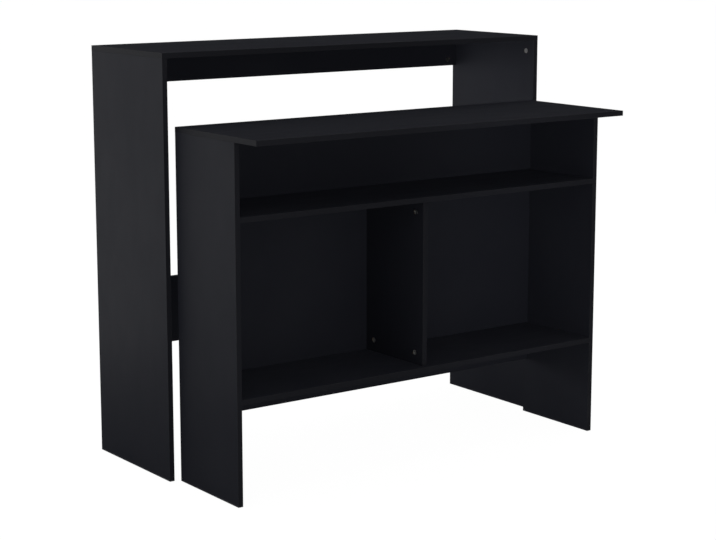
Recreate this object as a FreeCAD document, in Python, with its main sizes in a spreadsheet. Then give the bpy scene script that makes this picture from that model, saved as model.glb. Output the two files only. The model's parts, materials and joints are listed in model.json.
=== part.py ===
import FreeCAD
import Part
import Sketcher
import os
import re

# A pair of black bar tables that nest: a tall open table, and a shorter one with shelves
# that stands in front of it and slides under it.  Both are flat-pack work: flat boards with
# edge bands, drawn together by cam locks and located by dowels.
# Lengths are in millimetres.  X runs to the right, Y to the back and Z up.  The origin is on
# the floor, under the middle of the pair with the short table just drawn out.

SIZES = {
    "board": (15, "thickness of every board"),
    "edging": (1, "thickness of the edge bands"),
    "edging_chamfer": (0.4, "bevel along the outer arrises of the edge bands"),
    "tall_length": (1350, "length of the tall table"),
    "tall_depth": (400, "depth of the tall table"),
    "tall_height": (1200, "height of the tall table"),
    "rail_height": (100, "height of the rear rail under the tall top"),
    "stretcher_floor": (300, "clear height under the stretcher"),
    "stretcher_height": (200, "height of the stretcher"),
    "side_clearance": (15, "room between the nested table and each tall side"),
    "rest_gap": (10, "room between the two tables when the short one is drawn out"),
    "short_depth": (300, "depth of the short table's sides"),
    "short_height": (1000, "height of the short table"),
    "top_overhang": (105, "how far the short top stands out in front of its sides"),
    "shelf_floor": (280, "clear height under the bottom shelf"),
    "compartment_height": (477, "clear height between the two shelves"),
    "divider_setback": (15, "how far the divider stands behind the shelves' front edges"),
    "back_floor": (175, "clear height under the back panel"),
    "cam_diameter": (15, "bore for a cam lock"),
    "cam_reach": (34, "cam centre from the joint"),
    "cam_inset": (37, "cam centre from the edge of its board"),
    "cam_tail": (4.5, "cam barrel beyond the bolt's axis"),
    "cam_slot_length": (9, "length of the screwdriver slot in a cam"),
    "cam_slot_width": (1.8, "width of the screwdriver slot"),
    "cam_slot_depth": (2, "depth of the screwdriver slot"),
    "rail_cam_inset": (20, "cam from the lower edge of the rear rail"),
    "bolt_diameter": (5, "shank of a cam bolt"),
    "bolt_head_diameter": (6.4, "head of a cam bolt"),
    "bolt_head_length": (3, "length of a cam bolt's head"),
    "bolt_grip": (11, "cam bolt's thread inside the board it is screwed to"),
    "edge_bore": (7.5, "bore in a board's edge for a cam bolt"),
    "dowel_diameter": (8, "dowel"),
    "dowel_length": (30, "length of a dowel"),
    "dowel_grip": (10, "dowel inside the face that it enters"),
    "fit_clearance": (0.1, "room round a piece of hardware in its bore"),
    "end_clearance": (0.5, "room past the end of a bolt or dowel in its bore"),
}

AXES = ("X", "Y", "Z")
PLANES = {"X": "YZ_Plane", "Y": "XZ_Plane", "Z": "XY_Plane"}
NORMAL_SIGN = {"X": "+", "Y": "-", "Z": "+"}
BOX_SIDES = ("Length", "Width", "Height")
TOUCHING = 1e-6
LEAST_CUT = 0.1
FULL_TURN = 360

doc = FreeCAD.newDocument("bar_table")
sheet = doc.addObject("Spreadsheet::Sheet", "Sizes")
for row, (alias, (number, note)) in enumerate(SIZES.items(), start=1):
    sheet.set(f"A{row}", alias)
    sheet.set(f"B{row}", str(number))
    sheet.setAlias(f"B{row}", alias)
    sheet.set(f"C{row}", note)
doc.recompute()

SIZE_WORDS = re.compile(r"\b(" + "|".join(SIZES) + r")\b")


# Axes

def in_plane(axis):
    """Where, in AXES, the two axes stand that lie in the plane square to one."""
    return [AXES.index(other) for other in AXES if other != axis]


def unit(direction):
    """The unit vector along a signed axis such as -Z."""
    sign = -1 if direction[0] == "-" else 1
    return FreeCAD.Vector(*(sign * (axis == direction[1]) for axis in AXES))


# Sizes and places as expressions

def bound(expression):
    """The expression with each size name pointing at its cell."""
    return SIZE_WORDS.sub(r"Sizes.\1", expression)


def value(expression):
    return float(sheet.evalExpression(bound(expression)))


def bind(item, prop, expression):
    item.setExpression(prop, bound(expression))


def bind_place(item, point):
    for axis, coordinate in zip("xyz", point):
        bind(item, f"Placement.Base.{axis}", coordinate)


def opposite(direction):
    return ("-" if direction[0] == "+" else "+") + direction[1]


def shifted(point, direction, distance):
    """The point, moved by an expression along a signed axis such as -Z."""
    index = AXES.index(direction[1])
    moved = list(point)
    moved[index] = f"({point[index]} {direction[0]} {distance})"
    return tuple(moved)


def less(a, b):
    return f"(({a}) - ({b}))"


# Where the main faces lie

back = "((tall_depth + rest_gap + short_depth + top_overhang) / 2)"
tall_front = f"({back} - tall_depth)"
tall_end = "(tall_length / 2)"
tall_inside = "(tall_length / 2 - board)"
under_tall_top = "(tall_height - board)"
short_back = f"({tall_front} - rest_gap)"
short_front = f"({short_back} - short_depth)"
short_lip = f"({short_front} - top_overhang)"
short_end = f"({tall_inside} - side_clearance)"
short_inside = f"({short_end} - board)"
under_short_top = "(short_height - board)"
back_panel_front = f"({short_back} - board)"
on_bottom_shelf = "(shelf_floor + board)"
under_upper_shelf = f"({on_bottom_shelf} + compartment_height)"


# Sketches on a body's own planes

def sketch_on(body, axis, level, name):
    """A sketch square to an axis, at an expression's distance along it."""
    plane = next(f for f in body.Origin.OriginFeatures if f.Role == PLANES[axis])
    sketch = body.newObject("Sketcher::SketchObject", name)
    sketch.AttachmentSupport = [(plane, "")]
    sketch.MapMode = "FlatFace"
    bind(sketch, "AttachmentOffset.Base.z", f"{NORMAL_SIGN[axis]}({level})")
    return sketch


def constrain(sketch, kind, where, expression):
    index = sketch.addConstraint(Sketcher.Constraint(kind, *where, value(expression)))
    bind(sketch, f"Constraints[{index}]", expression)


def draw_rectangle(sketch, width, height):
    """A rectangle from the sketch's origin to a far corner."""
    across = FreeCAD.Vector(value(width), 0, 0)
    up = FreeCAD.Vector(0, value(height), 0)
    corners = [FreeCAD.Vector(), across, across + up, up]
    for start, end in zip(corners, corners[1:] + corners[:1]):
        sketch.addGeometry(Part.LineSegment(start, end), False)
    for side in range(len(corners)):
        after = (side + 1) % len(corners)
        sketch.addConstraint(Sketcher.Constraint("Coincident", side, 2, after, 1))
        direction = "Vertical" if side % 2 else "Horizontal"
        sketch.addConstraint(Sketcher.Constraint(direction, side))
    sketch.addConstraint(Sketcher.Constraint("Coincident", 0, 1, -1, 1))
    constrain(sketch, "DistanceX", (0, 1, 0, 2), width)
    constrain(sketch, "DistanceY", (1, 1, 1, 2), height)


def draw_circle(sketch, across, up, diameter):
    centre = FreeCAD.Vector(value(across), value(up), 0)
    normal = FreeCAD.Vector(0, 0, 1)
    circle = sketch.addGeometry(Part.Circle(centre, normal, value(diameter) / 2), False)
    constrain(sketch, "DistanceX", (-1, 1, circle, 3), across)
    constrain(sketch, "DistanceY", (-1, 1, circle, 3), up)
    constrain(sketch, "Diameter", (circle,), diameter)


def extrude(body, kind, sketch, length, direction, name):
    """A pad or pocket of the sketch that runs along the signed axis."""
    feature = body.newObject(f"PartDesign::{kind}", name)
    feature.Profile = sketch
    bind(feature, "Length", length)
    along_normal = direction[0] == NORMAL_SIGN[direction[1]]
    feature.Reversed = along_normal if kind == "Pocket" else not along_normal
    return feature


# Boards and their edge bands

bodies = {}
corners_of = {}
nodes = {}


def edge_band(name, side, low, high):
    """One band, with the two long arrises of its outer face bevelled."""
    body = doc.addObject("PartDesign::Body", name)
    bind_place(body, low)
    strip = body.newObject("PartDesign::AdditiveBox", f"{name}_strip")
    sizes = [less(end, start) for start, end in zip(low, high)]
    for prop, size in zip(BOX_SIDES, sizes):
        bind(strip, prop, size)
    doc.recompute()
    index = AXES.index(side[1])
    outer = value(sizes[index]) if side[0] == "+" else 0
    longest = max(range(len(AXES)), key=lambda i: value(sizes[i]))
    arrises = []
    for number, edge in enumerate(strip.Shape.Edges, start=1):
        ends = [vertex.Point for vertex in edge.Vertexes]
        on_outer = all(abs(end[index] - outer) < TOUCHING for end in ends)
        if on_outer and abs(ends[0][longest] - ends[1][longest]) > TOUCHING:
            arrises.append(f"Edge{number}")
    bevel = body.newObject("PartDesign::Chamfer", f"{name}_bevel")
    bevel.Base = (strip, arrises)
    bind(bevel, "Size", "edging_chamfer")
    return body


def make_board(name, low, high, thin, edged):
    """A board between two corners, thin along one axis, with bands on the edged sides.

    The corners include the bands.  Bands on the front and back run the whole length, and
    bands on the ends fit between them.
    """
    core_low = list(low)
    core_high = list(high)
    for side in edged:
        index = AXES.index(side[1])
        if side[0] == "-":
            core_low[index] = f"({low[index]} + edging)"
        else:
            core_high[index] = f"({high[index]} - edging)"
    body = doc.addObject("PartDesign::Body", name)
    bind_place(body, core_low)
    across, up = in_plane(thin)
    sketch = sketch_on(body, thin, "0", f"{name}_outline")
    draw_rectangle(sketch, less(core_high[across], core_low[across]), less(core_high[up], core_low[up]))
    extrude(body, "Pad", sketch, "board", f"+{thin}", f"{name}_pad")
    bodies[name] = body
    corners_of[name] = core_low
    nodes[name] = body

    bands = []
    for side in edged:
        index = AXES.index(side[1])
        band_low = list(core_low if side[1] == "X" else low)
        band_high = list(core_high if side[1] == "X" else high)
        if side[0] == "-":
            band_low[index] = low[index]
            band_high[index] = core_low[index]
        else:
            band_low[index] = core_high[index]
            band_high[index] = high[index]
        bands.append(edge_band(f"{name}_band_{len(bands) + 1}", side, band_low, band_high))
    group = doc.addObject("Part::Compound", f"{name}_edging")
    group.Links = bands
    nodes[f"{name}_edging"] = group


# Bores, gathered so that those of one board, one size and one face share a sketch

bores = {}


def bore(board_name, mouth, into, diameter, depth):
    level = mouth[AXES.index(into[1])]
    key = (board_name, into, level, diameter, depth)
    bores.setdefault(key, []).append(mouth)


def drill_boards():
    for number, (key, mouths) in enumerate(bores.items(), start=1):
        board_name, into, level, diameter, depth = key
        body = bodies[board_name]
        corner = corners_of[board_name]
        axis = into[1]
        local_level = less(level, corner[AXES.index(axis)])
        sketch = sketch_on(body, axis, local_level, f"{board_name}_bores_{number}")
        for mouth in mouths:
            across, up = (less(mouth[i], corner[i]) for i in in_plane(axis))
            draw_circle(sketch, across, up, diameter)
        extrude(body, "Pocket", sketch, depth, into, f"{board_name}_drilling_{number}")
    doc.recompute()


# Hardware, one pattern piece each

def turned(name, outline):
    """A piece turned about X: outline is a list of (along, diameter) expressions."""
    body = doc.addObject("PartDesign::Body", name)
    sketch = sketch_on(body, "Y", "0", f"{name}_outline")
    rim = [(along, f"({diameter}) / 2") for along, diameter in outline]
    points = [(rim[0][0], "0"), *rim, (rim[-1][0], "0")]
    vectors = [FreeCAD.Vector(value(along), value(up), 0) for along, up in points]
    for start, end in zip(vectors, vectors[1:] + vectors[:1]):
        sketch.addGeometry(Part.LineSegment(start, end), False)
    for line, (along, up) in enumerate(points):
        previous = (line - 1) % len(points)
        sketch.addConstraint(Sketcher.Constraint("Coincident", previous, 2, line, 1))
        constrain(sketch, "DistanceX", (-1, 1, line, 1), along)
        if up == "0":
            sketch.addConstraint(Sketcher.Constraint("PointOnObject", line, 1, -1))
        else:
            constrain(sketch, "DistanceY", (-1, 1, line, 1), up)
    whole = body.newObject("PartDesign::Revolution", f"{name}_turning")
    whole.Profile = sketch
    whole.ReferenceAxis = (sketch, ["H_Axis"])
    whole.Angle = FULL_TURN
    return body


def subtract_box(body, name, low, high):
    box = body.newObject("PartDesign::SubtractiveBox", name)
    for prop, start, end in zip(BOX_SIDES, low, high):
        bind(box, prop, less(end, start))
    bind_place(box, low)


def make_cam_lock():
    """The barrel's shown face is at its origin, facing +Z, and the bolt comes in from +X.

    A notch from the rim to past the middle, open at the inner end, takes the bolt's head,
    and a slot takes the screwdriver.
    """
    body = doc.addObject("PartDesign::Body", "cam_lock_pattern")
    sketch = sketch_on(body, "Z", "0", "cam_lock_round")
    centre = FreeCAD.Vector()
    normal = FreeCAD.Vector(0, 0, 1)
    barrel = "(cam_diameter - 2 * fit_clearance)"
    circle = sketch.addGeometry(Part.Circle(centre, normal, value(barrel) / 2), False)
    sketch.addConstraint(Sketcher.Constraint("Coincident", circle, 3, -1, 1))
    constrain(sketch, "Diameter", (circle,), barrel)
    extrude(body, "Pad", sketch, "board / 2 + cam_tail", "-Z", "cam_lock_barrel")

    half_notch = "(bolt_head_diameter / 2 + fit_clearance)"
    notch_end = "(bolt_head_length / 2 + fit_clearance)"
    subtract_box(
        body,
        "cam_lock_notch",
        (f"-{notch_end}", f"-{half_notch}", "-board / 2 - cam_tail"),
        ("cam_diameter", half_notch, f"-board / 2 + {half_notch}"),
    )
    half_slot = "cam_slot_length / 2"
    half_width = "cam_slot_width / 2"
    subtract_box(
        body,
        "cam_lock_slot",
        (f"-{half_slot}", f"-{half_width}", "-cam_slot_depth"),
        (half_slot, half_width, "0"),
    )
    return body


def make_cam_bolt():
    """The joint plane is at the origin.  The head, at the cam's centre on +X, flares to its end."""
    outline = [
        ("-bolt_grip", "bolt_diameter"),
        ("cam_reach - bolt_head_length / 2", "bolt_diameter"),
        ("cam_reach + bolt_head_length / 2", "bolt_head_diameter"),
    ]
    return turned("cam_bolt_pattern", outline)


def make_dowel():
    """The joint plane is at the origin, and the longer end is on +X."""
    ends = ("-dowel_grip", "dowel_length - dowel_grip")
    return turned("dowel_pattern", [(along, "dowel_diameter") for along in ends])


# Joints between boards

cam_lock = make_cam_lock()
cam_bolt = make_cam_bolt()
dowel = make_dowel()
hardware = {}


def place_copy(group, pattern, point, x_axis, z_axis):
    """A copy of a pattern piece whose own X and Z point along two signed axes."""
    copies = hardware.setdefault(group, [])
    copy = doc.addObject("App::Link", f"{group}_{len(copies) + 1}")
    copy.LinkedObject = pattern
    x = unit(x_axis)
    z = unit(z_axis)
    copy.Placement.Rotation = FreeCAD.Rotation(x, z.cross(x), z, "ZXY")
    bind_place(copy, point)
    copies.append(copy)


def cam_joint(table, holder, mate, point, into, face):
    """A cam lock in the holder's face draws a bolt that is screwed into the mate.

    The point is on the joint plane, at the middle of the holder's thickness.
    """
    on_axis = shifted(point, into, "cam_reach")
    centre = shifted(on_axis, face, "board / 2")
    bore(holder, centre, opposite(face), "cam_diameter", "board / 2 + cam_tail")
    bore(holder, point, into, "edge_bore", "cam_reach")
    thread_bore = "bolt_diameter + 2 * fit_clearance"
    bore(mate, point, opposite(into), thread_bore, "bolt_grip + end_clearance")
    place_copy(f"{table}_cam_locks", cam_lock, centre, opposite(into), face)
    place_copy(f"{table}_cam_bolts", cam_bolt, point, into, face)


def dowel_joint(table, holder, mate, point, into, face):
    """A dowel in the holder's edge enters the mate's face."""
    drill = "dowel_diameter + 2 * fit_clearance"
    bore(holder, point, into, drill, "dowel_length - dowel_grip + end_clearance")
    bore(mate, point, opposite(into), drill, "dowel_grip + end_clearance")
    place_copy(f"{table}_dowels", dowel, point, into, face)


# The tall table: a top on two sides, tied at the back by a rail and a stretcher

ENDS = {"left": ("-", "+"), "right": ("+", "-")}

make_board(
    "tall_top",
    (f"-{tall_end}", tall_front, under_tall_top),
    (tall_end, back, "tall_height"),
    "Z",
    ("-Y", "+Y", "-X", "+X"),
)
make_board(
    "tall_left_side",
    (f"-{tall_end}", tall_front, "0"),
    (f"-{tall_inside}", back, under_tall_top),
    "X",
    ("-Y", "+Y"),
)
make_board(
    "tall_right_side",
    (tall_inside, tall_front, "0"),
    (tall_end, back, under_tall_top),
    "X",
    ("-Y", "+Y"),
)
make_board(
    "tall_rear_rail",
    (f"-{tall_inside}", f"({back} - board)", f"({under_tall_top} - rail_height)"),
    (tall_inside, back, under_tall_top),
    "Y",
    ("-Z",),
)
make_board(
    "tall_stretcher",
    (f"-{tall_inside}", f"({back} - board)", "stretcher_floor"),
    (tall_inside, back, "(stretcher_floor + stretcher_height)"),
    "Y",
    ("-Z", "+Z"),
)

# The short table: a top that overhangs at the front, two sides, a back panel, two shelves
# and a divider between them

make_board(
    "short_top",
    (f"-{short_end}", short_lip, under_short_top),
    (short_end, short_back, "short_height"),
    "Z",
    ("-Y", "+Y", "-X", "+X"),
)
make_board(
    "short_left_side",
    (f"-{short_end}", short_front, "0"),
    (f"-{short_inside}", short_back, under_short_top),
    "X",
    ("-Y", "+Y"),
)
make_board(
    "short_right_side",
    (short_inside, short_front, "0"),
    (short_end, short_back, under_short_top),
    "X",
    ("-Y", "+Y"),
)
make_board(
    "back_panel",
    (f"-{short_inside}", back_panel_front, "back_floor"),
    (short_inside, short_back, under_short_top),
    "Y",
    ("-Z",),
)
make_board(
    "bottom_shelf",
    (f"-{short_inside}", short_front, "shelf_floor"),
    (short_inside, back_panel_front, on_bottom_shelf),
    "Z",
    ("-Y",),
)
make_board(
    "upper_shelf",
    (f"-{short_inside}", short_front, under_upper_shelf),
    (short_inside, back_panel_front, f"({under_upper_shelf} + board)"),
    "Z",
    ("-Y",),
)
divider_front = f"({short_front} + divider_setback)"
make_board(
    "divider",
    ("(-board / 2)", divider_front, on_bottom_shelf),
    ("(board / 2)", back_panel_front, under_upper_shelf),
    "X",
    ("-Y",),
)

# Fittings at both ends of the tables: cams near the front, dowels at the middle of a joint

for end, (outward, inward) in ENDS.items():
    inner_face = f"{inward}X"
    tall_side = f"tall_{end}_side"
    tall_middle = f"({outward}({tall_end} - board / 2))"
    tall_face = f"({outward}{tall_inside})"
    tie_middle = f"({back} - board / 2)"

    tall_top_joint = (tall_middle, f"({tall_front} + cam_inset)", under_tall_top)
    cam_joint("tall", tall_side, "tall_top", tall_top_joint, "-Z", inner_face)
    rail_cam = f"({under_tall_top} - rail_height + rail_cam_inset)"
    rail_joint = (tall_face, tie_middle, rail_cam)
    cam_joint("tall", "tall_rear_rail", tall_side, rail_joint, inner_face, "-Y")
    stretcher_middle = "(stretcher_floor + stretcher_height / 2)"
    stretcher_joint = (tall_face, tie_middle, stretcher_middle)
    dowel_joint("tall", "tall_stretcher", tall_side, stretcher_joint, inner_face, "-Y")

    short_side = f"short_{end}_side"
    short_middle = f"({outward}({short_end} - board / 2))"
    short_face = f"({outward}{short_inside})"
    shelf_middle = f"(({short_front} + {back_panel_front}) / 2)"

    short_top_joint = (short_middle, shelf_middle, under_short_top)
    dowel_joint("short", short_side, "short_top", short_top_joint, "-Z", inner_face)
    upper_joint = (short_face, shelf_middle, f"({under_upper_shelf} + board / 2)")
    dowel_joint("short", "upper_shelf", short_side, upper_joint, inner_face, "-Z")
    bottom_joint = (short_face, f"({short_front} + cam_inset)", "(shelf_floor + board / 2)")
    cam_joint("short", "bottom_shelf", short_side, bottom_joint, inner_face, "-Z")

# A dowel between the back panel and the short top, and cams between the divider and the shelves

panel_joint = ("0", f"({short_back} - board / 2)", under_short_top)
dowel_joint("short", "back_panel", "short_top", panel_joint, "-Z", "-Y")
for inset_y in (f"({divider_front} + cam_inset)", f"({back_panel_front} - cam_inset)"):
    cam_joint("short", "divider", "upper_shelf", ("0", inset_y, under_upper_shelf), "-Z", "-X")
    cam_joint("short", "divider", "bottom_shelf", ("0", inset_y, on_bottom_shelf), "+Z", "-X")

drill_boards()
for group_name, copies in hardware.items():
    group = doc.addObject("Part::Compound", group_name)
    group.Links = copies
    nodes[group_name] = group
doc.recompute()

# Every feature has to be sound, and every bore has to take something away

for item in doc.Objects:
    if "Invalid" in item.State or "Error" in item.State:
        raise RuntimeError(f"{item.Label} failed: {item.State}")
    if item.TypeId == "PartDesign::Pocket":
        taken = item.BaseFeature.Shape.Volume - item.Shape.Volume
        if taken < LEAST_CUT:
            raise RuntimeError(f"{item.Label} cuts nothing")
for name, item in nodes.items():
    item.Label = name
    if item.Shape.isNull() or not item.Shape.isValid():
        raise RuntimeError(f"{name} has no sound shape")

os.makedirs("parts", exist_ok=True)
for name, item in nodes.items():
    item.Shape.exportStep(f"parts/{name}.step")
print(len(nodes), "nodes,", sum(len(item.Shape.Solids) for item in nodes.values()), "solids")
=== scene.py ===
"""Looks, studio and camera for a pair of black bar tables: a tall open one and a short shelved one."""

import json
import math
from collections import namedtuple

import bmesh
import bpy
from mathutils import Matrix, Vector


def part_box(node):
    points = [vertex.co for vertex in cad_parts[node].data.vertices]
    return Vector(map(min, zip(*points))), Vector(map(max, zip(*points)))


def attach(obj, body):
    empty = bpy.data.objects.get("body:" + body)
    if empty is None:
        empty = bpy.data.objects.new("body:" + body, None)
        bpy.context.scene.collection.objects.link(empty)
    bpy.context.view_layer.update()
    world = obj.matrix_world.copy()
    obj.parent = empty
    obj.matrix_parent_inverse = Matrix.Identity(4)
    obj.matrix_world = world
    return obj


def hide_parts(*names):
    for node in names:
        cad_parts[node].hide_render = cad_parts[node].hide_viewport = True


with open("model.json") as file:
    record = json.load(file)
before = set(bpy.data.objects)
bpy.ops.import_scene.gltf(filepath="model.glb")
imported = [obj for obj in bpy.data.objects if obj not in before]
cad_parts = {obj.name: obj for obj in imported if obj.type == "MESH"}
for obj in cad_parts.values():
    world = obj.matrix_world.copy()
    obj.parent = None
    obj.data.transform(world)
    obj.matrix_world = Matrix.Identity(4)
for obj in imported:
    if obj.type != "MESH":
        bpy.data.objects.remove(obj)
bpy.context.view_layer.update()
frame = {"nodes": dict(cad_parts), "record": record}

AXES = "XYZ"

# Camera: the photo's viewpoint in metres and in degrees from the frame's axes, its lens in millimetres.
CAMERA_PLACE = (-3.1463, -4.2605, 1.5383)
CAMERA_YAW = 36.215
CAMERA_PITCH = 10.316
LEVEL_TILT = 90.0
CAMERA_LENS = 91.27
CAMERA_SENSOR = 36.0
CAMERA_SHIFT_Y = -0.02

# Room: an even white, dimmer as a light than it looks, and a floor whose white is mostly its own.
ROOM_WHITE = (1.0, 1.0, 1.0, 1.0)
ROOM_SEEN = 1.0
ROOM_LIGHT = 0.62
FLOOR_WHITE = (0.97, 0.97, 0.97, 1.0)
FLOOR_OWN_SHARE = 0.94
FLOOR_GLOW = 1.03
FLOOR_HALF_SIZE = 60.0

# Dark cards that only reflections see: some stand between two points on the floor, and some lie on it.
CARD_DARK = (0.02, 0.02, 0.022, 1.0)
CARD_LIFT = 0.004
UprightCard = namedtuple("UprightCard", "start end top")
FlatCard = namedtuple("FlatCard", "low high")
UPRIGHT_CARDS = {
    "card_back": UprightCard(start=(-0.3, 4.0), end=(5.0, 3.0), top=8.0),
    "card_right": UprightCard(start=(5.0, 3.0), end=(5.0, -4.0), top=5.0),
    "card_front": UprightCard(start=(5.0, -4.0), end=(-1.0, -6.0), top=5.0),
}
FLAT_CARDS = {
    "card_floor_left": FlatCard(low=(-3.0, -0.6), high=(-0.72, 1.2)),
    "card_floor_front": FlatCard(low=(-0.6, -5.0), high=(5.0, -0.45)),
    "card_floor_behind": FlatCard(low=(-0.72, -0.45), high=(0.72, 1.0)),
}

# Lamps, in metres, watts and degrees of spread. One without shadow lights the insides evenly.
Lamp = namedtuple("Lamp", "place target size power shadow spread", defaults=(True, 180.0))
LAMPS = {
    "front_fill": Lamp(place=(-1.1, -5.4, 1.1), target=(0.0, 0.0, 0.7), size=(3.0, 2.0), power=78.0,
                       shadow=False),
    "left_fill": Lamp(place=(-5.0, 0.4, 0.5), target=(-0.6, 0.0, 0.5), size=(1.2, 1.2), power=30.0),
    "top_fill": Lamp(place=(0.0, 0.0, 4.0), target=(0.0, 0.0, 0.0), size=(3.0, 3.0), power=23.0,
                     shadow=False),
    "end_fill": Lamp(place=(-0.35, -1.0, 0.65), target=(0.6, -0.05, 0.65), size=(0.3, 1.3), power=0.6,
                     shadow=False, spread=40.0),
    "tall_end_fill": Lamp(place=(-0.5, 0.2, 1.09), target=(0.6, 0.2, 1.09), size=(0.3, 0.12), power=0.18,
                          spread=30.0),
    "back_fill": Lamp(place=(-1.0, 4.6, 0.7), target=(0.0, 0.4, 0.6), size=(1.2, 1.2), power=120.0),
    "right_fill": Lamp(place=(4.6, 1.2, 0.7), target=(0.6, 0.0, 0.6), size=(1.2, 1.2), power=120.0),
}

# Finishes: colours are linear shares of white, scales are features to the metre, and depths are in metres.
# A noise keeps mostly to its span, and its core is somewhat narrower.
NOISE_SPAN = (0.3, 0.7)
NOISE_CORE = (0.35, 0.65)
UPWARD_SPAN = (0.6, 0.9)

# Bare chipboard, at the edges of a board that have no band.
CHIP_DARK = (0.235, 0.150, 0.080, 1.0)
CHIP_LIGHT = (0.560, 0.420, 0.265, 1.0)
CHIP_TONE_SPAN = (0.1, 0.5)
CHIP_ROUGHNESS = 0.9
FLAKE_SCALE = 420.0
FLAKE_SPAN = (0.0, 0.8)
FLAKE_DEPTH = 0.0004
FIBRE_SCALE = 900.0

# Black melamine, on the faces of a board.
BOARD_BLACK = (0.0092, 0.0098, 0.0135, 1.0)
BOARD_CLOUD = (0.0114, 0.0120, 0.0157, 1.0)
BOARD_DUST = (0.0130, 0.0133, 0.0163, 1.0)
BOARD_ROUGHNESS = (0.53, 0.58)
BOARD_SPECULAR = 0.08
FACE_SPAN = (0.4, 0.6)
CLOUD_SCALE = 3.2
CLOUD_SHARE = (0.0, 0.7)
WIPE_SCALE = 4.0
WIPE_STRETCH = (1.4, 5.0, 2.2)
PEARL_SCALE = 900.0
PEARL_SPAN = (0.1, 0.75)
PEARL_SHARE = 0.3
PEARL_DEPTH = 0.00005
WAVE_SCALE = 9.0
WAVE_DEPTH = 0.00012
SPECK_SCALE = 420.0
SPECK_SPAN = (0.45, 0.7)
SPECK_SHARE = (0.25, 1.0)
SPECK_ROUGHNESS = (-0.02, 0.02)
FILM_SCALE = 7.0
FILM_SPAN = (0.42, 0.75)

# Black edge band. Its bevels get a lighter colour that is partly scuffed wear and partly a painted
# highlight along the arris.
BAND_BLACK = (0.0078, 0.0081, 0.0104, 1.0)
BAND_WEAR_AND_HIGHLIGHT = (0.022, 0.022, 0.023, 1.0)
BAND_ROUGHNESS = (0.51, 0.57)
BAND_SPECULAR = 0.085
BAND_GRAIN_SCALE = 480.0
BAND_GRAIN_DEPTH = 0.00003
BEVEL_SPAN = (0.98, 0.85)
SCUFF_SCALE = 22.0
SCUFF_SPAN = (0.45, 0.7)
SCUFF_SHARE = (0.25, 1.0)

# Zinc of the cams.
ZINC_DARK = (0.28, 0.28, 0.275, 1.0)
ZINC_LIGHT = (0.44, 0.44, 0.43, 1.0)
ZINC_ROUGHNESS = (0.58, 0.42)
ZINC_PATCH_SCALE = 260.0
ZINC_SKIN_SCALE = 1800.0
ZINC_SKIN_DEPTH = 0.00004

# Steel of the bolts.
STEEL_DARK = (0.46, 0.45, 0.42, 1.0)
STEEL_LIGHT = (0.64, 0.63, 0.60, 1.0)
STEEL_ROUGHNESS = (0.26, 0.40)
STEEL_TONE_SCALE = 300.0
TURNING_SCALE = 2400.0
TURNING_STRETCH = (1.0, 0.05, 0.05)
TURNING_DEPTH = 0.00002

# Beech of the dowels.
BEECH_DARK = (0.43, 0.27, 0.15, 1.0)
BEECH_LIGHT = (0.66, 0.48, 0.31, 1.0)
BEECH_TONE_SPAN = (0.2, 0.65)
BEECH_ROUGHNESS = (0.55, 0.72)
GRAIN_SCALE = 260.0
GRAIN_STRETCH = (0.4, 4.0, 4.0)
GRAIN_DEPTH = 0.0001
RAY_SCALE = 1600.0
RAY_STRETCH = (0.25, 1.0, 1.0)
RAY_SPAN = (0.55, 0.7)
RAY_SHARE = 0.5

# Fittings: the detail that the plain solids leave out, in metres.
TABLES = ("tall", "short")
ROD_PLACE = "rod_place"
WELD = 1e-6
SHARP_ANGLE = math.radians(35.0)
FLAT_ANGLE = math.radians(1.0)

# Cams: a bar of the cross recess and an arrow, as outlines on the shown face with X towards the bolt.
CAM_BAR = ((-0.0009, -0.0045), (0.0009, -0.0045), (0.0009, 0.0045), (-0.0009, 0.0045))
CAM_BAR_DEPTH = 0.0020
CAM_ARROW = ((0.0052, -0.0011), (0.0066, 0.0), (0.0052, 0.0011))
CAM_ARROW_DEPTH = 0.0005
CAM_ROUNDING = 0.0002
CUTTER_RISE = 0.001

# Bolts: a thread up to the joint, then rings of distance and radius for the collar and for the head.
BOLT_SEGMENTS = 28
BOLT_GRIP = 0.011
BOLT_PITCH = 0.00125
BOLT_RINGS_PER_TURN = 6
BOLT_CREST = 0.0025
BOLT_CORE = 0.0019
BOLT_TIP_SHARE = 0.5
BOLT_RUN_OUT = 0.0015
BOLT_COLLAR_FROM_JOINT = ((0.0, BOLT_CORE), (0.0, 0.0035), (0.0010, 0.0035), (0.0014, 0.0025))
BOLT_HEAD_FROM_END = ((-0.0062, 0.0025), (-0.0054, 0.0018), (-0.0032, 0.0018), (-0.0026, 0.0031),
                      (-0.0004, 0.0032), (0.0, 0.0028))

# Dowels: flutes all round and bevelled ends.
DOWEL_FLUTES = 20
DOWEL_FLUTE_DEPTH = 0.0004
DOWEL_CHAMFER = 0.001
SEGMENTS_PER_FLUTE = 4

# Sockets of the mix node, by number: each kind of value has its own.
MIX_FACTOR = 0
MIX_VALUES = (2, 3)
MIX_VALUE_RESULT = 0
MIX_COLOURS = (6, 7)
MIX_COLOUR_RESULT = 2


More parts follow.
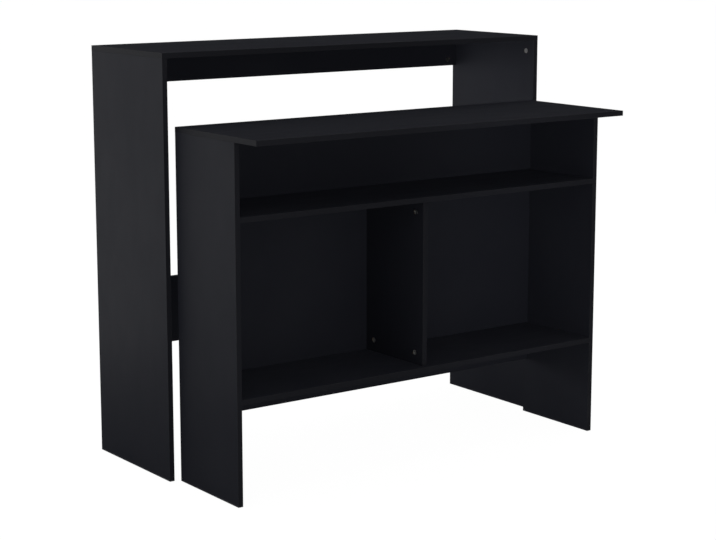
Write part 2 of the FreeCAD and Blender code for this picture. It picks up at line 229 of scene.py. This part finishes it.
class Surface:
    """One procedural material. Most methods add a node and return the socket that carries its result."""

    def __init__(self, name):
        self.material = bpy.data.materials.new(name)
        self.material.use_nodes = True
        self.nodes = self.material.node_tree.nodes
        self.links = self.material.node_tree.links
        self.shader = self.nodes["Principled BSDF"]

    def feed(self, socket, value):
        """Links a socket's result to an input, or sets the input to a plain value."""
        if isinstance(value, bpy.types.NodeSocket):
            self.links.new(value, socket)
        else:
            socket.default_value = value

    def set(self, **values):
        """Feeds the shader's inputs, named with _ for each space."""
        for name, value in values.items():
            self.feed(self.shader.inputs[name.replace("_", " ")], value)

    def scaled(self, vector, stretch):
        """A place with each axis scaled."""
        mapping = self.nodes.new("ShaderNodeMapping")
        self.feed(mapping.inputs["Vector"], vector)
        mapping.inputs["Scale"].default_value = stretch
        return mapping.outputs["Vector"]

    def place(self, stretch=(1.0, 1.0, 1.0)):
        """The point's place at rest in metres, with each axis scaled."""
        return self.scaled(self.nodes.new("ShaderNodeTexCoord").outputs["Object"], stretch)

    def rod_place(self, stretch):
        """The point's place in metres with X along its own bolt or dowel, and each axis scaled."""
        own = self.nodes.new("ShaderNodeAttribute")
        own.attribute_name = ROD_PLACE
        return self.scaled(own.outputs["Vector"], stretch)

    def slope(self, axis):
        """The part of the true normal that lies along one axis."""
        split = self.nodes.new("ShaderNodeSeparateXYZ")
        self.feed(split.inputs["Vector"], self.nodes.new("ShaderNodeNewGeometry").outputs["True Normal"])
        return split.outputs[axis]

    def facing(self, axis):
        """How squarely the surface faces along one axis, either way: 0 is edge on and 1 is square."""
        return self.math("ABSOLUTE", self.slope(axis))

    def upward(self):
        """1 on faces that look up, 0 on the rest."""
        return self.remap(self.slope("Z"), UPWARD_SPAN)

    def noise(self, vector, scale, detail=2.0, roughness=0.5, distortion=0.0):
        """Cloudy noise from 0 to 1."""
        noise = self.nodes.new("ShaderNodeTexNoise")
        self.feed(noise.inputs["Vector"], vector)
        noise.inputs["Scale"].default_value = scale
        noise.inputs["Detail"].default_value = detail
        noise.inputs["Roughness"].default_value = roughness
        noise.inputs["Distortion"].default_value = distortion
        return noise.outputs["Fac"]

    def cells(self, vector, scale):
        """The distance from the middle of scattered cells."""
        cells = self.nodes.new("ShaderNodeTexVoronoi")
        self.feed(cells.inputs["Vector"], vector)
        cells.inputs["Scale"].default_value = scale
        return cells.outputs["Distance"]

    def remap(self, value, from_span, to_span=(0.0, 1.0)):
        """A value stretched from one span to another and kept inside it."""
        remap = self.nodes.new("ShaderNodeMapRange")
        self.feed(remap.inputs["Value"], value)
        remap.inputs["From Min"].default_value, remap.inputs["From Max"].default_value = from_span
        remap.inputs["To Min"].default_value, remap.inputs["To Max"].default_value = to_span
        return remap.outputs["Result"]

    def math(self, operation, first, second=0.0):
        """The result of one operation on one or two values."""
        node = self.nodes.new("ShaderNodeMath")
        node.operation = operation
        self.feed(node.inputs[0], first)
        self.feed(node.inputs[1], second)
        return node.outputs["Value"]

    def mix_values(self, factor, first, second):
        """A value between two values."""
        mix = self.nodes.new("ShaderNodeMix")
        return self.mixed(mix, factor, (first, second), MIX_VALUES, MIX_VALUE_RESULT)

    def mix_colours(self, factor, first, second):
        """A colour between two colours."""
        mix = self.nodes.new("ShaderNodeMix")
        mix.data_type = "RGBA"
        return self.mixed(mix, factor, (first, second), MIX_COLOURS, MIX_COLOUR_RESULT)

    def mixed(self, mix, factor, pair, sockets, result):
        """Feeds a mix node's own sockets for one kind of value."""
        self.feed(mix.inputs[MIX_FACTOR], factor)
        for socket, value in zip(sockets, pair):
            self.feed(mix.inputs[socket], value)
        return mix.outputs[result]

    def bump(self, height, depth, below=None):
        """Relief of that depth in metres, on top of an earlier relief."""
        bump = self.nodes.new("ShaderNodeBump")
        bump.inputs["Distance"].default_value = depth
        self.feed(bump.inputs["Height"], height)
        if below is not None:
            self.feed(bump.inputs["Normal"], below)
        return bump.outputs["Normal"]


def chipboard(surface):
    """Colour and height of bare chipboard: pressed flakes of mixed browns."""
    place = surface.place()
    flakes = surface.cells(place, FLAKE_SCALE)
    fibres = surface.noise(place, FIBRE_SCALE, detail=4.0, roughness=0.7)
    tone = surface.math("MULTIPLY", surface.remap(flakes, FLAKE_SPAN), fibres)
    return surface.mix_colours(surface.remap(tone, CHIP_TONE_SPAN), CHIP_DARK, CHIP_LIGHT), flakes


def dust(surface, specks):
    """How much dust lies on a surface: specks in a patchy film, on the faces that look up."""
    film = surface.remap(surface.noise(surface.place(), FILM_SCALE, detail=5.0, roughness=0.65), FILM_SPAN)
    lying = surface.math("MULTIPLY", film, surface.upward())
    return surface.math("MULTIPLY", lying, surface.remap(specks, SPECK_SPAN, SPECK_SHARE))


def board_black(axis):
    """A board that is thin along one axis: satin black melamine on its faces, chipboard on its edges."""
    surface = Surface("board_black_thin_" + axis.lower())
    place = surface.place()
    cloud = surface.noise(place, CLOUD_SCALE, detail=3.0, roughness=0.55)
    wiped = surface.noise(surface.place(WIPE_STRETCH), WIPE_SCALE, detail=4.0, roughness=0.6,
                          distortion=0.4)
    pearl = surface.remap(surface.cells(place, PEARL_SCALE), PEARL_SPAN)
    specks = surface.noise(place, SPECK_SCALE, detail=1.0)
    tone = surface.math("ADD", surface.remap(cloud, NOISE_CORE, CLOUD_SHARE),
                        surface.math("MULTIPLY", pearl, PEARL_SHARE))
    face = surface.mix_colours(tone, BOARD_BLACK, BOARD_CLOUD)
    face = surface.mix_colours(dust(surface, specks), face, BOARD_DUST)
    gloss = surface.math("ADD", surface.remap(wiped, NOISE_SPAN, BOARD_ROUGHNESS),
                         surface.remap(specks, NOISE_SPAN, SPECK_ROUGHNESS))
    core, flakes = chipboard(surface)
    is_face = surface.math("MAXIMUM", surface.remap(surface.facing(axis), FACE_SPAN), surface.upward())
    is_core = surface.math("SUBTRACT", 1.0, is_face)
    relief = surface.bump(surface.noise(place, WAVE_SCALE, detail=1.0), WAVE_DEPTH)
    relief = surface.bump(pearl, PEARL_DEPTH, relief)
    relief = surface.bump(surface.math("MULTIPLY", flakes, is_core), FLAKE_DEPTH, relief)
    surface.set(Base_Color=surface.mix_colours(is_face, core, face),
                Roughness=surface.mix_values(is_face, CHIP_ROUGHNESS, gloss),
                Specular_IOR_Level=BOARD_SPECULAR,
                Normal=relief)
    return surface.material


def edging_black():
    """Black edge band with a fine grain. Its bevels are lighter all along: a painted highlight, stronger
    where scuffed as wear.
    """
    surface = Surface("edging_black")
    place = surface.place()
    grain = surface.noise(place, BAND_GRAIN_SCALE, detail=3.0)
    squarest = surface.math("MAXIMUM", surface.facing("X"),
                            surface.math("MAXIMUM", surface.facing("Y"), surface.facing("Z")))
    bevel = surface.remap(squarest, BEVEL_SPAN)
    scuffs = surface.noise(place, SCUFF_SCALE, detail=5.0, roughness=0.7)
    # Painted highlight and wear: every bevel takes at least a quarter of the lighter colour, and more in
    # scuffed patches.
    wear_and_highlight = surface.math("MULTIPLY", bevel, surface.remap(scuffs, SCUFF_SPAN, SCUFF_SHARE))
    surface.set(Base_Color=surface.mix_colours(wear_and_highlight, BAND_BLACK, BAND_WEAR_AND_HIGHLIGHT),
                Roughness=surface.remap(grain, NOISE_SPAN, BAND_ROUGHNESS),
                Specular_IOR_Level=BAND_SPECULAR,
                Normal=surface.bump(grain, BAND_GRAIN_DEPTH))
    return surface.material


def cam_zinc():
    """Die-cast zinc: dull grey with a cast skin and darker patches."""
    surface = Surface("cam_zinc")
    place = surface.place()
    skin = surface.noise(place, ZINC_SKIN_SCALE, detail=3.0)
    patches = surface.noise(place, ZINC_PATCH_SCALE, detail=4.0, roughness=0.6)
    surface.set(Base_Color=surface.mix_colours(surface.remap(patches, NOISE_CORE), ZINC_DARK, ZINC_LIGHT),
                Metallic=1.0,
                Roughness=surface.remap(patches, NOISE_SPAN, ZINC_ROUGHNESS),
                Normal=surface.bump(skin, ZINC_SKIN_DEPTH))
    return surface.material


def bolt_steel():
    """Bright plated steel with turning marks round the bolt."""
    surface = Surface("bolt_steel")
    marks = surface.noise(surface.rod_place(TURNING_STRETCH), TURNING_SCALE)
    tone = surface.noise(surface.place(), STEEL_TONE_SCALE, detail=3.0)
    surface.set(Base_Color=surface.mix_colours(surface.remap(tone, NOISE_CORE), STEEL_DARK, STEEL_LIGHT),
                Metallic=1.0,
                Roughness=surface.remap(marks, NOISE_SPAN, STEEL_ROUGHNESS),
                Normal=surface.bump(marks, TURNING_DEPTH))
    return surface.material


def dowel_beech():
    """Bare beech: pale, with its grain and short dark rays along the dowel."""
    surface = Surface("dowel_beech")
    grain = surface.noise(surface.rod_place(GRAIN_STRETCH), GRAIN_SCALE, detail=4.0, roughness=0.6,
                          distortion=0.6)
    rays = surface.remap(surface.noise(surface.rod_place(RAY_STRETCH), RAY_SCALE, detail=1.0), RAY_SPAN)
    between_rays = surface.math("SUBTRACT", 1.0, surface.math("MULTIPLY", rays, RAY_SHARE))
    tone = surface.remap(surface.math("MULTIPLY", grain, between_rays), BEECH_TONE_SPAN)
    surface.set(Base_Color=surface.mix_colours(tone, BEECH_DARK, BEECH_LIGHT),
                Roughness=surface.remap(grain, NOISE_SPAN, BEECH_ROUGHNESS),
                Normal=surface.bump(grain, GRAIN_DEPTH))
    return surface.material


def thin_axis(node):
    """The axis along which a board is thinnest."""
    low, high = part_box(node)
    size = high - low
    return AXES[min(range(len(AXES)), key=lambda index: size[index])]


def make_finishes():
    """The finish of each material slot but the boards', which have one for each thin axis."""
    return {"edging_black": edging_black(), "cam_zinc": cam_zinc(),
            "bolt_steel": bolt_steel(), "dowel_beech": dowel_beech()}


def dress(finishes):
    """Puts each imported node's finish in its material slots."""
    boards = {axis: board_black(axis) for axis in AXES}
    for part in frame["record"]["subparts"]:
        node = part["node"]
        slot = part["material_slot"]
        finish = boards[thin_axis(node)] if slot == "board_black" else finishes[slot]
        for place in frame["nodes"][node].material_slots:
            place.material = finish


def welded(node):
    """A node's mesh at rest with its faces joined up."""
    shape = bmesh.new()
    shape.from_mesh(frame["nodes"][node].data)
    bmesh.ops.remove_doubles(shape, verts=shape.verts, dist=WELD)
    return shape


def solids(node):
    """The points of each separate solid in a node."""
    shape = welded(node)
    seen = set()
    groups = []
    for start in shape.verts:
        if start in seen:
            continue
        seen.add(start)
        reached = [start]
        for vertex in reached:
            others = [edge.other_vert(vertex) for edge in vertex.link_edges]
            fresh = [other for other in others if other not in seen]
            seen.update(fresh)
            reached.extend(fresh)
        groups.append([vertex.co.copy() for vertex in reached])
    shape.free()
    return groups


def extents(points):
    """The size and the middle of the box round some points."""
    low = Vector([min(point[index] for point in points) for index in range(len(AXES))])
    high = Vector([max(point[index] for point in points) for index in range(len(AXES))])
    return high - low, (low + high) / 2


def along_axis(axis):
    """A step of one along an axis, by its number."""
    return Vector([float(index == axis) for index in range(len(AXES))])


def rod_frame(points):
    """The place of a rod's thinner end, pointing along it, and its length."""
    size, middle = extents(points)
    axis = max(range(len(AXES)), key=lambda index: size[index])
    along = along_axis(axis)
    widest = max(points, key=lambda point: ((point - middle) - (point - middle).dot(along) * along).length)
    if (widest - middle).dot(along) < 0:
        along = -along
    place = along.to_track_quat("X", "Z").to_matrix().to_4x4()
    place.translation = middle - along * size[axis] / 2
    return place, size[axis]


def lathe(shape, place, rings, segments):
    """Adds a closed turned piece along X. A ring is a distance, and a radius for each share of a turn."""
    own = shape.verts.layers.float_vector[ROD_PLACE]
    turns = [number / segments for number in range(segments)]
    rows = []
    for along, radius in rings:
        row = []
        for turn in turns:
            angle = 2 * math.pi * turn
            point = Vector((along, radius(turn) * math.cos(angle), radius(turn) * math.sin(angle)))
            vertex = shape.verts.new(place @ point)
            vertex[own] = point + place.translation
            row.append(vertex)
        rows.append(row)
    for row, other in zip(rows, rows[1:]):
        for index in range(segments):
            after = (index + 1) % segments
            shape.faces.new((row[index], row[after], other[after], other[index]))
    shape.faces.new(rows[0])
    shape.faces.new(rows[-1])


def thread_ring(along):
    """One ring of a bolt's thread: a ridge that winds round the core and runs out at both ends."""
    run_out = min(1.0, along / BOLT_RUN_OUT, (BOLT_GRIP - along) / BOLT_RUN_OUT)
    core = min(1.0, BOLT_TIP_SHARE + along / BOLT_RUN_OUT) * BOLT_CORE

    def radius(turn):
        ridge = 1.0 - abs(2.0 * ((along / BOLT_PITCH - turn) % 1.0) - 1.0)
        return core + (BOLT_CREST - BOLT_CORE) * ridge * run_out

    return along, radius


def even_ring(along, size):
    """A round ring."""
    return along, lambda turn: size


def add_bolt(shape, points):
    """A cam bolt: thread, collar, shank, neck and head."""
    place, length = rod_frame(points)
    step = BOLT_PITCH / BOLT_RINGS_PER_TURN
    rings = [thread_ring(number * step) for number in range(int(BOLT_GRIP / step))]
    rings += [even_ring(BOLT_GRIP + along, size) for along, size in BOLT_COLLAR_FROM_JOINT]
    rings += [even_ring(length + along, size) for along, size in BOLT_HEAD_FROM_END]
    lathe(shape, place, rings, BOLT_SEGMENTS)


def add_dowel(shape, points):
    """A fluted dowel with bevelled ends."""
    place, length = rod_frame(points)
    size = min(extents(points)[0]) / 2

    def fluted(along, inset):
        def radius(turn):
            wave = 0.5 + 0.5 * math.cos(2 * math.pi * DOWEL_FLUTES * turn)
            return size - inset - DOWEL_FLUTE_DEPTH * wave

        return along, radius

    rings = [fluted(0.0, DOWEL_CHAMFER), fluted(DOWEL_CHAMFER, 0.0),
             fluted(length - DOWEL_CHAMFER, 0.0), fluted(length, DOWEL_CHAMFER)]
    lathe(shape, place, rings, DOWEL_FLUTES * SEGMENTS_PER_FLUTE)


def cam_frame(points, bolts):
    """The place of a cam's shown face, which is Z, with X towards the bolt that it holds."""
    size, middle = extents(points)
    bolt = min((extents(bolt)[1] for bolt in bolts), key=lambda place: (place - middle).length)
    axis = min(range(len(AXES)), key=lambda index: size[index])
    face = along_axis(axis)
    if (middle - bolt).dot(face) < 0:
        face = -face
    toward = bolt - middle
    toward = (toward - toward.dot(face) * face).normalized()
    place = Matrix((toward, face.cross(toward), face)).transposed().to_4x4()
    place.translation = middle + face * size[axis] / 2
    return place


def add_prism(shape, place, outline, depth):
    """A cutter with this outline, from above a face to that depth in it."""
    floor = [shape.verts.new(place @ Vector((x, y, -depth))) for x, y in outline]
    roof = [shape.verts.new(place @ Vector((x, y, CUTTER_RISE))) for x, y in outline]
    shape.faces.new(reversed(floor))
    shape.faces.new(roof)
    for index in range(len(outline)):
        after = (index + 1) % len(outline)
        shape.faces.new((floor[index], floor[after], roof[after], roof[index]))


def show(name, data):
    """An object in the scene for a mesh, a lamp or a camera."""
    piece = bpy.data.objects.new(name, data)
    bpy.context.scene.collection.objects.link(piece)
    return piece


def new_piece(name, shape):
    """A piece from a finished shape, smooth but for its sharp edges."""
    mesh = bpy.data.meshes.new(name)
    shape.to_mesh(mesh)
    shape.free()
    mesh.shade_smooth()
    mesh.set_sharp_from_angle(angle=SHARP_ANGLE)
    return show(name, mesh)


def carve(piece, cutter):
    """The mesh that is left of a piece without a cutter, which is deleted."""
    cut = piece.modifiers.new("carve", "BOOLEAN")
    cut.operation = "DIFFERENCE"
    cut.solver = "EXACT"
    cut.object = cutter
    bpy.context.view_layer.update()
    whole = piece.evaluated_get(bpy.context.evaluated_depsgraph_get())
    carved = bpy.data.meshes.new_from_object(whole)
    piece.modifiers.remove(cut)
    bpy.data.objects.remove(cutter)
    return carved


def make_cams(node, bolt_node):
    """The node's cams with a cross recess, an arrow towards the bolt and rounded edges."""
    bolts = solids(bolt_node)
    cutters = bmesh.new()
    for points in solids(node):
        place = cam_frame(points, bolts)
        add_prism(cutters, place, CAM_BAR, CAM_BAR_DEPTH)
        add_prism(cutters, place, CAM_ARROW, CAM_ARROW_DEPTH)
    plain = new_piece(node + "_plain", welded(node))
    carved = carve(plain, new_piece(node + "_cutters", cutters))
    bpy.data.objects.remove(plain)
    shape = bmesh.new()
    shape.from_mesh(carved)
    bmesh.ops.remove_doubles(shape, verts=shape.verts, dist=WELD)
    bmesh.ops.dissolve_limit(shape, angle_limit=FLAT_ANGLE, verts=shape.verts, edges=shape.edges)
    sharp = [edge for edge in shape.edges if edge.calc_face_angle(0.0) > SHARP_ANGLE]
    bmesh.ops.bevel(shape, geom=sharp, offset=CAM_ROUNDING, segments=2, profile=0.5, affect="EDGES",
                    clamp_overlap=True)
    return new_piece(node + "_cast", shape)


def make_rods(node, add_rod, ending):
    """The node's bolts or dowels, each made new where the plain one lies."""
    shape = bmesh.new()
    shape.verts.layers.float_vector.new(ROD_PLACE)
    for points in solids(node):
        add_rod(shape, points)
    bmesh.ops.recalc_face_normals(shape, faces=shape.faces)
    return new_piece(node + ending, shape)


def fit_hardware(finishes):
    """Detailed cams, bolts and dowels in the places of the plain ones."""
    for table in TABLES:
        cams, bolts, dowels = table + "_cam_locks", table + "_cam_bolts", table + "_dowels"
        pieces = ((make_cams(cams, bolts), cams, "cam_zinc"),
                  (make_rods(bolts, add_bolt, "_threaded"), bolts, "bolt_steel"),
                  (make_rods(dowels, add_dowel, "_fluted"), dowels, "dowel_beech"))
        for piece, node, slot in pieces:
            piece.data.materials.clear()
            piece.data.materials.append(finishes[slot])
            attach(piece, table + "_table")
            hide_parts(node)


def matt(name, colour):
    """A plain matt surface for the stage."""
    surface = Surface(name)
    surface.set(Base_Color=colour, Roughness=1.0, Specular_IOR_Level=0.0)
    return surface


def plane(name, corners, material):
    """A flat stage piece with these corners."""
    mesh = bpy.data.meshes.new(name)
    mesh.from_pydata(corners, [], [tuple(range(len(corners)))])
    mesh.materials.append(material)
    piece = show(name, mesh)
    return piece


def flat_corners(low, high, height):
    """The corners of a level rectangle with sides along X and Y."""
    (left, near), (right, far) = low, high
    return [(left, near, height), (right, near, height), (right, far, height), (left, far, height)]


def floor_white():
    """The white floor: most of its white is its own, so the object's shadow on it stays pale."""
    surface = matt("floor_white", FLOOR_WHITE)
    path = surface.nodes.new("ShaderNodeLightPath")
    seen = surface.math("MAXIMUM", path.outputs["Is Camera Ray"], path.outputs["Is Glossy Ray"])
    seen = surface.math("MAXIMUM", seen, path.outputs["Is Transmission Ray"])
    glow = surface.nodes.new("ShaderNodeEmission")
    glow.inputs["Color"].default_value = ROOM_WHITE
    glow.inputs["Strength"].default_value = FLOOR_GLOW
    mix = surface.nodes.new("ShaderNodeMixShader")
    share, lit_side, own_side = mix.inputs
    surface.feed(share, surface.math("MULTIPLY", seen, FLOOR_OWN_SHARE))
    surface.feed(lit_side, surface.shader.outputs["BSDF"])
    surface.feed(own_side, glow.outputs["Emission"])
    surface.feed(surface.nodes["Material Output"].inputs["Surface"], mix.outputs["Shader"])
    return surface.material


def white_room():
    """A world that is plain white to the eye and in reflections, and somewhat dimmer as a light."""
    world = bpy.data.worlds.new("white_room")
    world.use_nodes = True
    nodes = world.node_tree.nodes
    links = world.node_tree.links
    path = nodes.new("ShaderNodeLightPath")
    strength = nodes.new("ShaderNodeMapRange")
    strength.inputs["To Min"].default_value = ROOM_SEEN
    strength.inputs["To Max"].default_value = ROOM_LIGHT
    links.new(path.outputs["Is Diffuse Ray"], strength.inputs["Value"])
    background = nodes["Background"]
    background.inputs["Color"].default_value = ROOM_WHITE
    links.new(strength.outputs["Result"], background.inputs["Strength"])
    bpy.context.scene.world = world


def dark_card(name, corners):
    """A dark card that shapes reflections and is otherwise unseen."""
    card = plane(name, corners, matt(name, CARD_DARK).material)
    card.visible_camera = False
    card.visible_diffuse = False
    card.visible_transmission = False
    card.visible_shadow = False


def soft_lamp(name, lamp):
    """A soft rectangular lamp that is itself unseen."""
    data = bpy.data.lights.new(name, "AREA")
    data.use_shadow = lamp.shadow
    data.shape = "RECTANGLE"
    data.size, data.size_y = lamp.size
    data.energy = lamp.power
    data.spread = math.radians(lamp.spread)
    piece = show(name, data)
    piece.location = lamp.place
    piece.rotation_euler = (Vector(lamp.target) - Vector(lamp.place)).to_track_quat("-Z", "Y").to_euler()
    piece.visible_camera = False
    piece.visible_glossy = False


def studio():
    """White room, white floor, the dark cards and the lamps."""
    white_room()
    half = FLOOR_HALF_SIZE
    plane("floor", flat_corners((-half, -half), (half, half), 0.0), floor_white())
    for name, (start, end, top) in UPRIGHT_CARDS.items():
        dark_card(name, [(*start, 0.0), (*end, 0.0), (*end, top), (*start, top)])
    for name, (low, high) in FLAT_CARDS.items():
        dark_card(name, flat_corners(low, high, CARD_LIFT))
    for name, lamp in LAMPS.items():
        soft_lamp(name, lamp)


def camera():
    """The photo's camera."""
    data = bpy.data.cameras.new("camera")
    data.lens = CAMERA_LENS
    data.sensor_width = CAMERA_SENSOR
    data.shift_y = CAMERA_SHIFT_Y
    piece = show("camera", data)
    piece.location = CAMERA_PLACE
    piece.rotation_euler = (math.radians(LEVEL_TILT - CAMERA_PITCH), 0.0, math.radians(-CAMERA_YAW))
    bpy.context.scene.camera = piece


finishes = make_finishes()
dress(finishes)
fit_hardware(finishes)
studio()
camera()
bpy.context.scene.view_settings.view_transform = "Standard"
